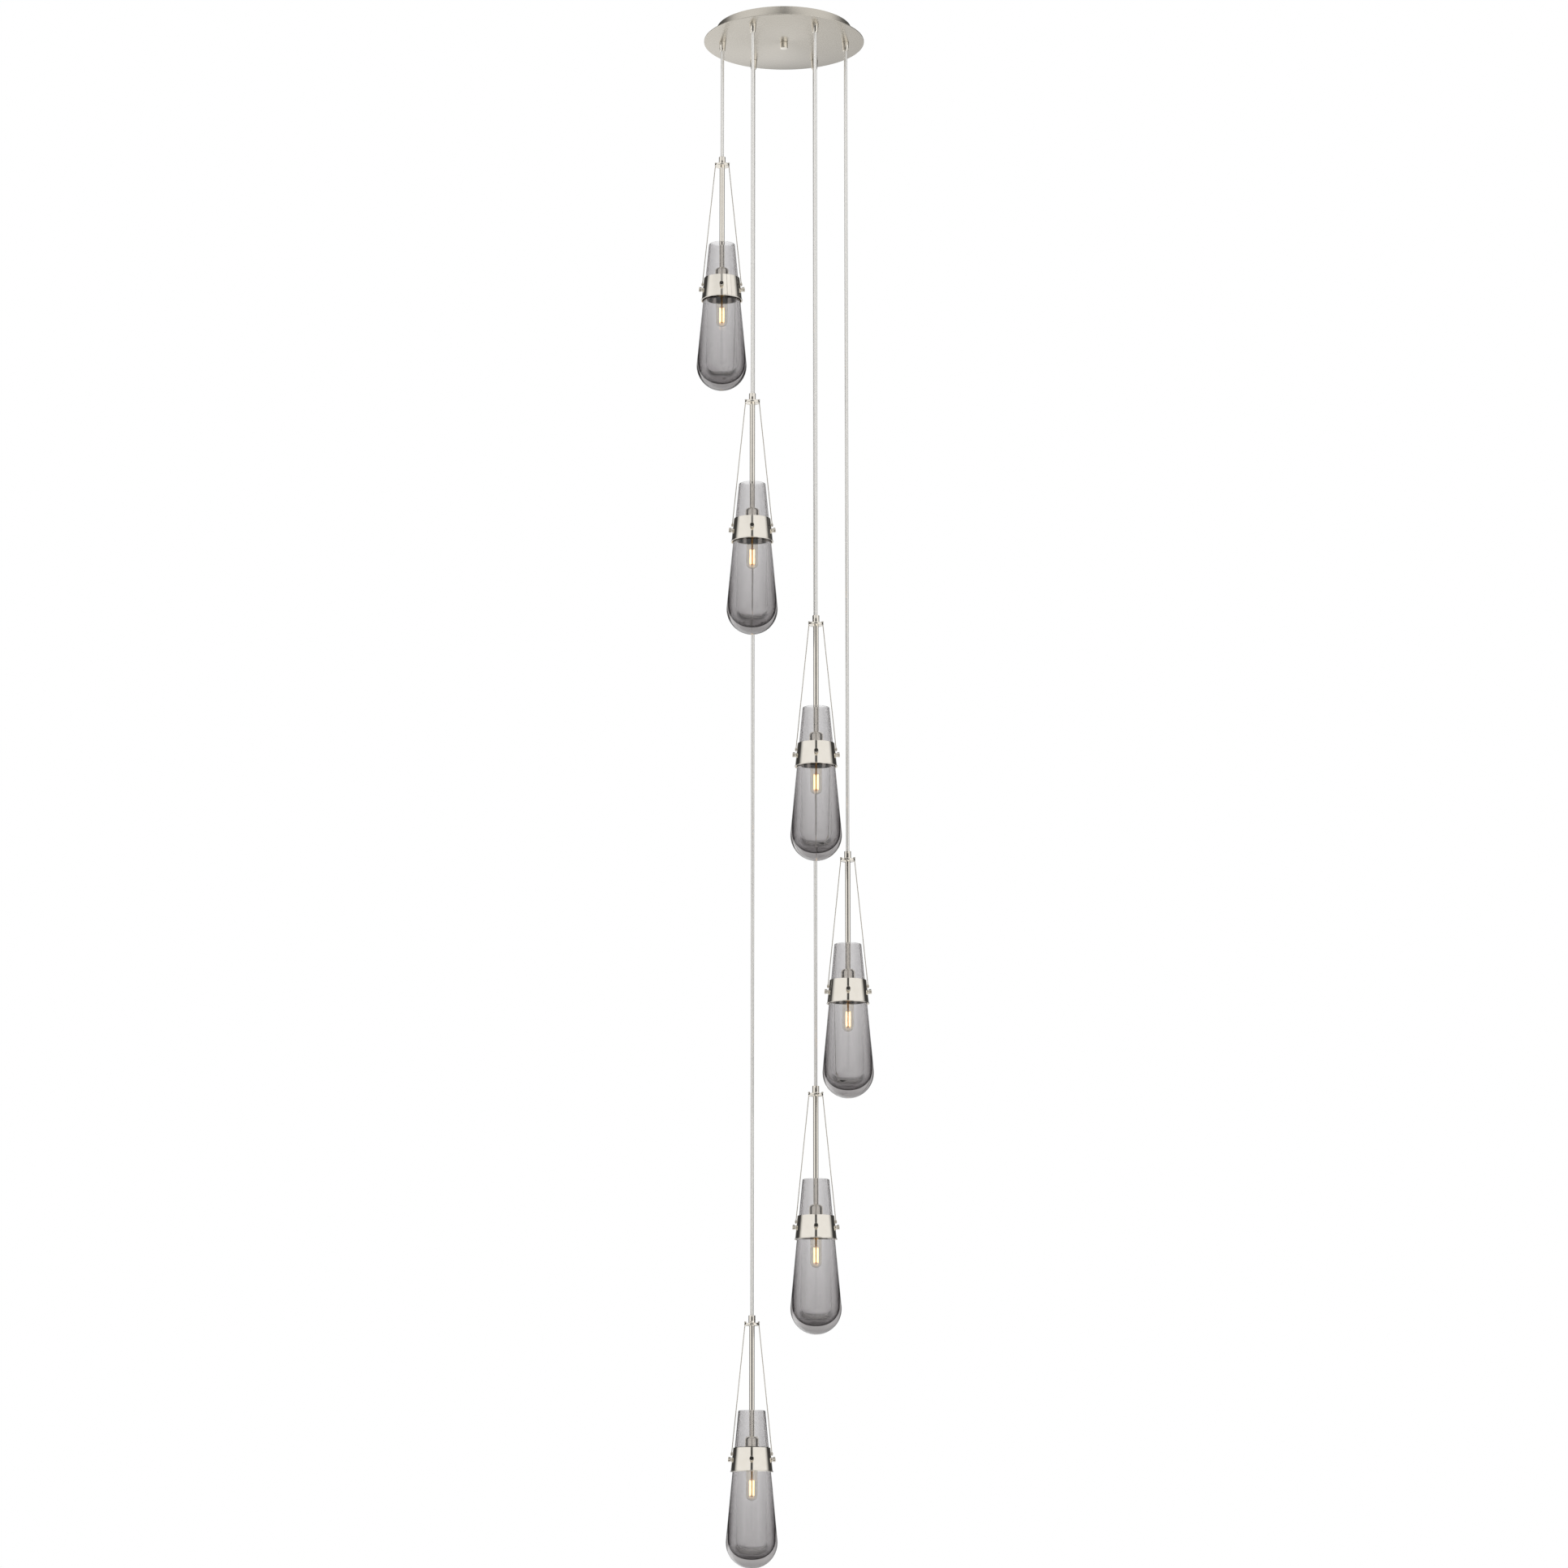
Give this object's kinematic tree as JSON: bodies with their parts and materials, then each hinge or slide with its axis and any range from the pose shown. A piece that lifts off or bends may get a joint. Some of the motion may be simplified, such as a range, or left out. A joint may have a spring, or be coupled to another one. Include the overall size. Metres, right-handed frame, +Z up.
{
  "type": "cluster pendant",
  "caption": "Cluster pendant: smoked glass drops on straight cords that step down round a round ceiling canopy.",
  "frame": {"origin": "middle of the ceiling plane, at the middle of the mounting strap's two slots", "axes": "+Z up; the cords hang to -Z; +X to the right and -Y towards the viewer of the picture"},
  "size_m": [0.3538, 0.3292, 3.1321],
  "materials": {
    "satin_nickel": "circular brushed nickel plate",
    "polished_nickel": "polished nickel plate",
    "zinc_steel": "bright zinc plate",
    "green_steel": "green finish of a ground screw",
    "clear_pvc": "clear jacket over white wires",
    "white_pvc": "wire insulation",
    "black_phenolic": "moulded lampholder",
    "clear_bulb_glass": "clear bulb with a metal cap",
    "smoke_glass": "thick smoked glass",
    "wire_rope": "twisted steel wire rope"
  },
  "bodies": {
    "canopy": {"canopy_pan": "satin_nickel", "canopy_plate": "satin_nickel", "mounting_strap": "zinc_steel", "threaded_nipple": "zinc_steel", "nipple_locknut": "zinc_steel", "centre_knob": "polished_nickel", "cord_grips": "polished_nickel", "grip_nuts": "zinc_steel", "grip_screws": "polished_nickel", "ground_screw": "green_steel", "cord_tails": "clear_pvc", "cord_cores": "white_pvc"},
    "cord_1": {"cord_1": "clear_pvc"},
    "pendant_1": {"hanger_1": "polished_nickel", "lampholder_1": "black_phenolic", "bulb_1": "clear_bulb_glass", "shade_1": "smoke_glass", "band_1": "satin_nickel", "thumbscrews_1": "polished_nickel", "ropes_1": "wire_rope"},
    "cord_2": {"cord_2": "clear_pvc"},
    "pendant_2": {"hanger_2": "polished_nickel", "lampholder_2": "black_phenolic", "bulb_2": "clear_bulb_glass", "shade_2": "smoke_glass", "band_2": "satin_nickel", "thumbscrews_2": "polished_nickel", "ropes_2": "wire_rope"},
    "cord_3": {"cord_3": "clear_pvc"},
    "pendant_3": {"hanger_3": "polished_nickel", "lampholder_3": "black_phenolic", "bulb_3": "clear_bulb_glass", "shade_3": "smoke_glass", "band_3": "satin_nickel", "thumbscrews_3": "polished_nickel", "ropes_3": "wire_rope"},
    "cord_4": {"cord_4": "clear_pvc"},
    "pendant_4": {"hanger_4": "polished_nickel", "lampholder_4": "black_phenolic", "bulb_4": "clear_bulb_glass", "shade_4": "smoke_glass", "band_4": "satin_nickel", "thumbscrews_4": "polished_nickel", "ropes_4": "wire_rope"},
    "cord_5": {"cord_5": "clear_pvc"},
    "pendant_5": {"hanger_5": "polished_nickel", "lampholder_5": "black_phenolic", "bulb_5": "clear_bulb_glass", "shade_5": "smoke_glass", "band_5": "satin_nickel", "thumbscrews_5": "polished_nickel", "ropes_5": "wire_rope"},
    "cord_6": {"cord_6": "clear_pvc"},
    "pendant_6": {"hanger_6": "polished_nickel", "lampholder_6": "black_phenolic", "bulb_6": "clear_bulb_glass", "shade_6": "smoke_glass", "band_6": "satin_nickel", "thumbscrews_6": "polished_nickel", "ropes_6": "wire_rope"}
  },
  "joints": [
    {"name": "swing_1", "type": "hinge", "parent": "canopy", "child": "cord_1", "pos_m": [-0.127, 0, -0.0457], "axis": [0, 1, 0], "range_deg": [-1, 10]},
    {"name": "turn_1", "type": "hinge", "parent": "cord_1", "child": "pendant_1", "pos_m": [-0.127, 0, -0.29525], "axis": [0, 0, 1], "range_deg": [-90, 90]},
    {"name": "swing_2", "type": "hinge", "parent": "canopy", "child": "cord_2", "pos_m": [-0.0635, -0.10998, -0.0457], "axis": [-0.866, 0.5, 0], "range_deg": [-1, 10]},
    {"name": "turn_2", "type": "hinge", "parent": "cord_2", "child": "pendant_2", "pos_m": [-0.0635, -0.10998, -0.82865], "axis": [0, 0, 1], "range_deg": [-90, 90]},
    {"name": "swing_3", "type": "hinge", "parent": "canopy", "child": "cord_3", "pos_m": [0.0635, -0.10998, -0.0457], "axis": [-0.866, -0.5, 0], "range_deg": [-1, 10]},
    {"name": "turn_3", "type": "hinge", "parent": "cord_3", "child": "pendant_3", "pos_m": [0.0635, -0.10998, -1.28585], "axis": [0, 0, 1], "range_deg": [-90, 90]},
    {"name": "swing_4", "type": "hinge", "parent": "canopy", "child": "cord_4", "pos_m": [0.127, 0, -0.0457], "axis": [0, -1, 0], "range_deg": [-1, 10]},
    {"name": "turn_4", "type": "hinge", "parent": "cord_4", "child": "pendant_4", "pos_m": [0.127, 0, -1.74305], "axis": [0, 0, 1], "range_deg": [-90, 90]},
    {"name": "swing_5", "type": "hinge", "parent": "canopy", "child": "cord_5", "pos_m": [0.0635, 0.10998, -0.0457], "axis": [0.866, -0.5, 0], "range_deg": [-1, 10]},
    {"name": "turn_5", "type": "hinge", "parent": "cord_5", "child": "pendant_5", "pos_m": [0.0635, 0.10998, -2.20025], "axis": [0, 0, 1], "range_deg": [-90, 90]},
    {"name": "swing_6", "type": "hinge", "parent": "canopy", "child": "cord_6", "pos_m": [-0.0635, 0.10998, -0.0457], "axis": [0.866, 0.5, 0], "range_deg": [-1, 10]},
    {"name": "turn_6", "type": "hinge", "parent": "cord_6", "child": "pendant_6", "pos_m": [-0.0635, 0.10998, -2.65745], "axis": [0, 0, 1], "range_deg": [-90, 90]}
  ]
}
